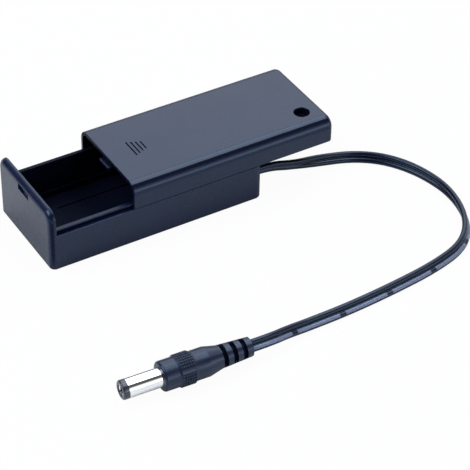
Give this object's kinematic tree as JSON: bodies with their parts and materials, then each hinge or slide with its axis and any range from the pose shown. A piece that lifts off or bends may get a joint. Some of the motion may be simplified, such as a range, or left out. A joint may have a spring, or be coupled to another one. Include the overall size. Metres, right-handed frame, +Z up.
{
  "type": "battery holder",
  "caption": "Box-shaped holder for a rectangular battery, with a tray, a sliding cover with grip grooves, snap contacts, a slide switch and a lead with a barrel plug.",
  "frame": {"origin": "middle of the tray's outer floor, which the holder stands on", "axes": "+X along the case from the tall front wall to the rear wall that the lead leaves, +Y to the side away from the lead's hole, +Z up"},
  "size_m": [0.1281, 0.0955, 0.02],
  "materials": {
    "case_plastic": "fine satin moulded black",
    "board_laminate": "brown phenolic laminate",
    "snap_nickel": "bright nickel plate",
    "contact_tin": "tinned sheet",
    "switch_steel": "zinc-plated sheet",
    "switch_phenolic": "brown phenolic",
    "wiper_brass": "spring brass",
    "solder": "bright solder",
    "wire_black": "black insulation",
    "wire_red": "red insulation",
    "lead_black": "black flat twin lead",
    "plug_grip": "moulded black with a dotted band",
    "plug_sleeve": "bright nickel plate",
    "plug_insulator": "black",
    "plug_contact": "nickel plate"
  },
  "bodies": {
    "case": {"tray": "case_plastic", "contact_board": "board_laminate", "snap_stud": "snap_nickel", "snap_socket": "snap_nickel", "stud_rivet": "snap_nickel", "socket_rivet": "snap_nickel", "stud_solder_tag": "contact_tin", "socket_solder_tag": "contact_tin", "switch_frame": "switch_steel", "switch_base": "switch_phenolic", "switch_terminal_on": "contact_tin", "switch_terminal_common": "contact_tin", "switch_terminal_off": "contact_tin", "negative_wire": "wire_black", "positive_wire": "wire_red", "switched_wire": "wire_red", "solder_socket": "solder", "solder_stud": "solder", "solder_switch_on": "solder", "solder_switch_common": "solder", "lead": "lead_black", "plug_grip": "plug_grip", "plug_sleeve": "plug_sleeve", "plug_insulator": "plug_insulator", "plug_centre_contact": "plug_contact"},
    "cover": {"sliding_cover": "case_plastic"},
    "switch": {"switch_knob": "case_plastic", "switch_wiper": "wiper_brass"}
  },
  "joints": [
    {"name": "cover_slide", "type": "slide", "parent": "case", "child": "cover", "axis": [1, 0, 0], "range_m": [-0.02455, 0.0404]},
    {"name": "switch_slide", "type": "slide", "parent": "case", "child": "switch", "axis": [0, 1, 0], "range_m": [-0.0025, 0]}
  ]
}
